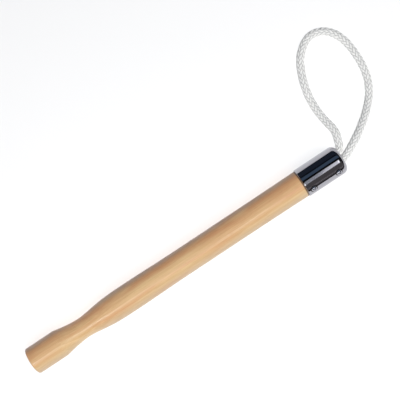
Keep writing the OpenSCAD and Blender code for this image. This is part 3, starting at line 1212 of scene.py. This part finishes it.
@dataclass
class RoundScrew:
    """A round-headed wood screw with a cross recess, driven square to the handle's axis.

    Attributes:
        frame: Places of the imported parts.
        finish: Finish of the steel.
        node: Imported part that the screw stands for.
        x: Place along the handle.
        length: Length below the cap's surface.
        lean: Angle from straight up, towards -Y, in degrees.
        head_d: Diameter of the head.
        head_h: Height of the head.
        shank_d: Diameter over the thread.
        pitch: Pitch of the thread.
        turned: Angle of the cross, in degrees.
    """

    frame: Frame
    finish: BrightSteel
    node: str
    x: float
    length: float
    lean: float = 45.0
    head_d: float = 0.0068
    head_h: float = 0.0023
    shank_d: float = 0.0034
    pitch: float = 0.0014
    turned: float = 20.0

    def cross(
        self, along: np.ndarray, radius: np.ndarray, angle: np.ndarray
    ) -> tuple[np.ndarray, np.ndarray]:
        """Cuts the cross recess into the head and the thread into the shank.

        Args:
            along: Distances along the screw's axis.
            radius: Distances from that axis.
            angle: Angles round it.

        Returns:
            The distances and radii after cutting.
        """
        turn = angle - math.radians(self.turned)
        x, y = radius * np.cos(turn), radius * np.sin(turn)
        deep = np.zeros_like(along)
        for a, b in ((x, y), (y, x)):
            long = smooth_step((self.head_d * 0.28 - np.abs(a)) / 0.00022 + 0.5)
            wide = smooth_step((self.head_d * 0.075 - np.abs(b)) / 0.0002 + 0.5)
            deep = np.maximum(deep, long * wide)
        top = along > 0.0002
        fall = np.where(top, deep * 0.0011 * (1.0 - radius / self.head_d), 0.0)
        wave = np.abs(np.mod(along / self.pitch - angle / (2 * math.pi), 1.0) - 0.5) * 2.0
        shank = (along < -0.003) & (along > -self.length + self.shank_d)
        cut = np.where(shank, 0.00045 * (1.0 - wave**3), 0.0)
        return along - fall, radius - cut

    def outline(self) -> np.ndarray:
        """Returns the screw's outline from the top of its head to its point.

        Returns:
            The points of the outline.
        """
        r = self.head_d / 2
        dome = (r**2 + self.head_h**2) / (2 * self.head_h)
        reach = math.asin(min(1.0, r / dome))
        turns, low = np.linspace(0.02, reach, 34), self.head_h - dome
        head = [(low + dome * math.cos(t), dome * math.sin(t)) for t in turns]
        under = [(-0.0001, r), (-0.00036, r - 0.0001), (-0.0004, r - 0.0004)]
        core = self.shank_d / 2
        neck = [(-0.0004, core + 0.0003), (-0.0007, core)]
        count = round((self.length - self.shank_d) / 0.0002)
        shank = [(x, core) for x in np.linspace(-0.0008, -self.length + self.shank_d, count)]
        tip = [(-self.length + self.shank_d * s, 0.0002 + (core - 0.0002) * s) for s in (0.7, 0.4, 0.15, 0.0)]
        return np.array(head + under + neck + shank + tip)

    def build(self) -> bpy.types.Object:
        """Returns the screw.

        Returns:
            The screw's object.
        """
        lift = Matrix.Translation((self.x, 0, self.frame.axis_z))
        lean = Matrix.Rotation(math.radians(self.lean), 4, "X")
        seat = lift @ lean @ Matrix.Translation((0, 0, self.frame.cap_r))
        obj = Turning(self.node + "_steel", self.outline(), around=96, relief=self.cross).make(seat)
        obj.data.flip_normals()
        shade(obj.data, 55)
        return obj

    def dress(self, obj: bpy.types.Object) -> None:
        """Plates the screw.

        Args:
            obj: Object to dress.
        """
        obj.data.materials.append(self.finish.material())
        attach(obj, Body.HANDLE.value)
        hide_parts(self.node)


# ---------------------------------------------------------------------------------------------
# The studio
# ---------------------------------------------------------------------------------------------


@dataclass(frozen=True)
class Softbox:
    """A soft rectangular lamp.

    Attributes:
        name: Name of the lamp.
        place: Where it hangs.
        aim: Point that it faces.
        size: Width and length.
        glow: Brightness of its face.
        tint: Colour of its light.
        mirrored: True if polished metal shows it.
        shadows: True if it casts shadows.
    """

    name: str
    place: Point
    aim: Point
    size: tuple[float, float]
    glow: float
    tint: Colour = (1.0, 1.0, 1.0)
    mirrored: bool = True
    shadows: bool = True

    def hang(self) -> None:
        """Adds the lamp to the scene, with its width along X when it faces down."""
        lamp = bpy.data.lights.new(self.name, "AREA")
        lamp.shape = "RECTANGLE"
        lamp.size, lamp.size_y = self.size
        lamp.energy = self.glow * self.size[0] * self.size[1] * math.pi
        lamp.color = self.tint
        lamp.use_shadow = self.shadows
        obj = bpy.data.objects.new(self.name, lamp)
        obj.location = self.place
        aim = Vector(self.aim) - Vector(self.place)
        obj.rotation_euler = aim.to_track_quat("-Z", "Y").to_euler()
        obj.visible_glossy = self.mirrored
        obj.visible_camera = False
        bpy.context.scene.collection.objects.link(obj)


@dataclass
class Studio:
    """Camera, pale floor and soft light.

    Attributes:
        eye: Place of the camera, straight above the tool.
        turn: Turn of the camera about the upright, in degrees.
        lens: Focal length in millimetres.
        floor_side: Side of the floor.
        floor_tone: Colour of the floor.
        sky: Brightness of the light from all round.
        lamps: The softboxes.
    """

    eye: Point = (0.0536, 0.0515, 1.2756)
    turn: float = -33.48
    lens: float = 92.9
    floor_side: float = 16.0
    floor_tone: Colour = (0.93, 0.93, 0.93)
    sky: float = 0.14
    lamps: tuple[Softbox, ...] = (
        Softbox("end_strip", (0.76, -0.49, 1.9), (0.76, -0.49, 0.0), (0.68, 0.86), 1.25, (0.96, 0.97, 1.0)),
        Softbox("tip_strip", (0.63, -0.45, 1.88), (0.63, -0.45, 0.0), (0.28, 0.60), 1.7, (0.98, 0.98, 1.0)),
        Softbox("dim_strip", (0.35, -0.49, 1.9), (0.35, -0.49, 0.0), (0.14, 0.86), 0.54, (0.88, 0.92, 1.0)),
        Softbox("long_strip", (-0.36, -0.75, 1.9), (-0.36, -0.75, 0.0), (1.28, 0.55), 2.5, shadows=False),
        Softbox("neck_glint", (-0.90, -0.72, 1.88), (-0.90, -0.72, 0.0), (0.26, 0.36), 17.0, shadows=False),
        Softbox("side_ceiling", (0.2, -2.0, 1.9), (0.2, -2.0, 0.0), (6.4, 2.2), 0.12, (1.0, 0.92, 0.93)),
        Softbox("side_wall", (0.2, -1.9, 0.76), (0.2, 0.0, 0.05), (6.4, 0.82), 0.12, (1.0, 0.93, 0.93)),
        Softbox("side_bar", (0.2, -1.85, 0.86), (0.2, 0.0, 0.0), (6.4, 0.11), 0.30, (1.0, 0.92, 0.97)),
        Softbox("cool_ceiling", (0.2, 0.90, 1.9), (0.2, 0.90, 0.0), (6.4, 0.92), 0.17, (0.45, 0.68, 1.0)),
        Softbox("cool_wall", (0.2, 2.1, 0.95), (0.2, 0.0, 0.05), (6.4, 1.8), 0.045, (0.50, 0.66, 1.0)),
        Softbox("butt_wall", (-3.4, 0.2, 0.9), (0.0, 0.2, 0.2), (3.6, 1.6), 0.16, (0.90, 0.94, 1.0)),
        Softbox("cap_wall", (3.6, 0.2, 0.9), (0.0, 0.2, 0.2), (3.6, 1.6), 0.05, (0.90, 0.94, 1.0)),
        Softbox("soft_key", (0.0, -0.85, 2.3), (0.0, 0.0, 0.0), (2.6, 2.2), 0.45, (1.0, 0.99, 0.98), False),
        Softbox(
            "fill", (0.0, -0.90, 2.4), (0.0, 0.0, 0.0), (1.6, 1.6), 6.2, (1.0, 0.995, 0.99), False, False
        ),
    )

    def set_camera(self) -> None:
        """Adds the camera."""
        data = bpy.data.cameras.new("camera")
        data.lens = self.lens
        data.sensor_width = 36.0
        data.clip_start, data.clip_end = 0.05, 60.0
        obj = bpy.data.objects.new("camera", data)
        obj.location = self.eye
        obj.rotation_euler = (0.0, 0.0, math.radians(self.turn))
        bpy.context.scene.collection.objects.link(obj)
        bpy.context.scene.camera = obj

    def lay_floor(self) -> None:
        """Adds the floor, a plain pale sheet."""
        half = self.floor_side / 2
        corners = np.array([(-half, -half, 0), (half, -half, 0), (half, half, 0), (-half, half, 0)], float)
        floor = link_mesh("floor", corners, [(0, 1, 2, 3)])
        graph, shader, _, made = fresh_material("pale_floor", self.floor_tone)
        graph.put(shader.inputs["Base Color"], (*self.floor_tone, 1.0))
        shader.inputs["Roughness"].default_value = 0.9
        shader.inputs["Specular IOR Level"].default_value = 0.1
        floor.data.materials.append(made)

    def light(self) -> None:
        """Hangs the lamps and sets the light from all round."""
        for lamp in self.lamps:
            lamp.hang()
        world = bpy.data.worlds.new("tent")
        world.use_nodes = True
        background = world.node_tree.nodes["Background"]
        background.inputs["Color"].default_value = (1.0, 1.0, 1.0, 1.0)
        background.inputs["Strength"].default_value = self.sky
        world.cycles_visibility.glossy = False
        bpy.context.scene.world = world
        bpy.context.scene.view_settings.view_transform = "Standard"


def main() -> None:
    """Builds the studio and the tool's pieces in order, and reports each."""
    logging.basicConfig(level=logging.INFO, format="%(name)s: %(message)s")
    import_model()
    frame = Frame.read()
    studio = Studio()
    studio.set_camera()
    short_x, long_x = frame.mouth_x + CAP_SCREW_AT, frame.end_x - ROPE_SCREW_AT
    side = frame.cap_r * math.sqrt(0.5)
    rings = tuple((x, -side, frame.axis_z + side) for x in (short_x, long_x))
    plating = BrightSteel("cap_chrome", shade_ring=rings)
    screw_plating = BrightSteel("screw_chrome", plate=(0.60, 0.61, 0.68), rough=0.12, wave=0.0, scratch=0.8)
    end_grain = VarnishedWood(
        "varnished_end_grain", (0.60, 0.40, 0.205), (0.33, 0.18, 0.075), coat=0.25, rings=0.9
    )
    pieces = (
        RopeLoop(frame, BraidedCord()),
        Handle(frame, VarnishedWood(shade_ring_x=frame.mouth_x), end_grain, BareWood()),
        EndCap(frame, plating),
        RoundScrew(frame, screw_plating, "cap_screw", short_x, CAP_SCREW_LEN),
        RoundScrew(frame, screw_plating, "rope_screw", long_x, ROPE_SCREW_LEN),
    )
    for piece in pieces:
        obj = piece.build()
        piece.dress(obj)
        LOG.info("%s: %d points, %d faces", obj.name, len(obj.data.vertices), len(obj.data.polygons))
    studio.lay_floor()
    studio.light()


if __name__ == "__main__":
    main()
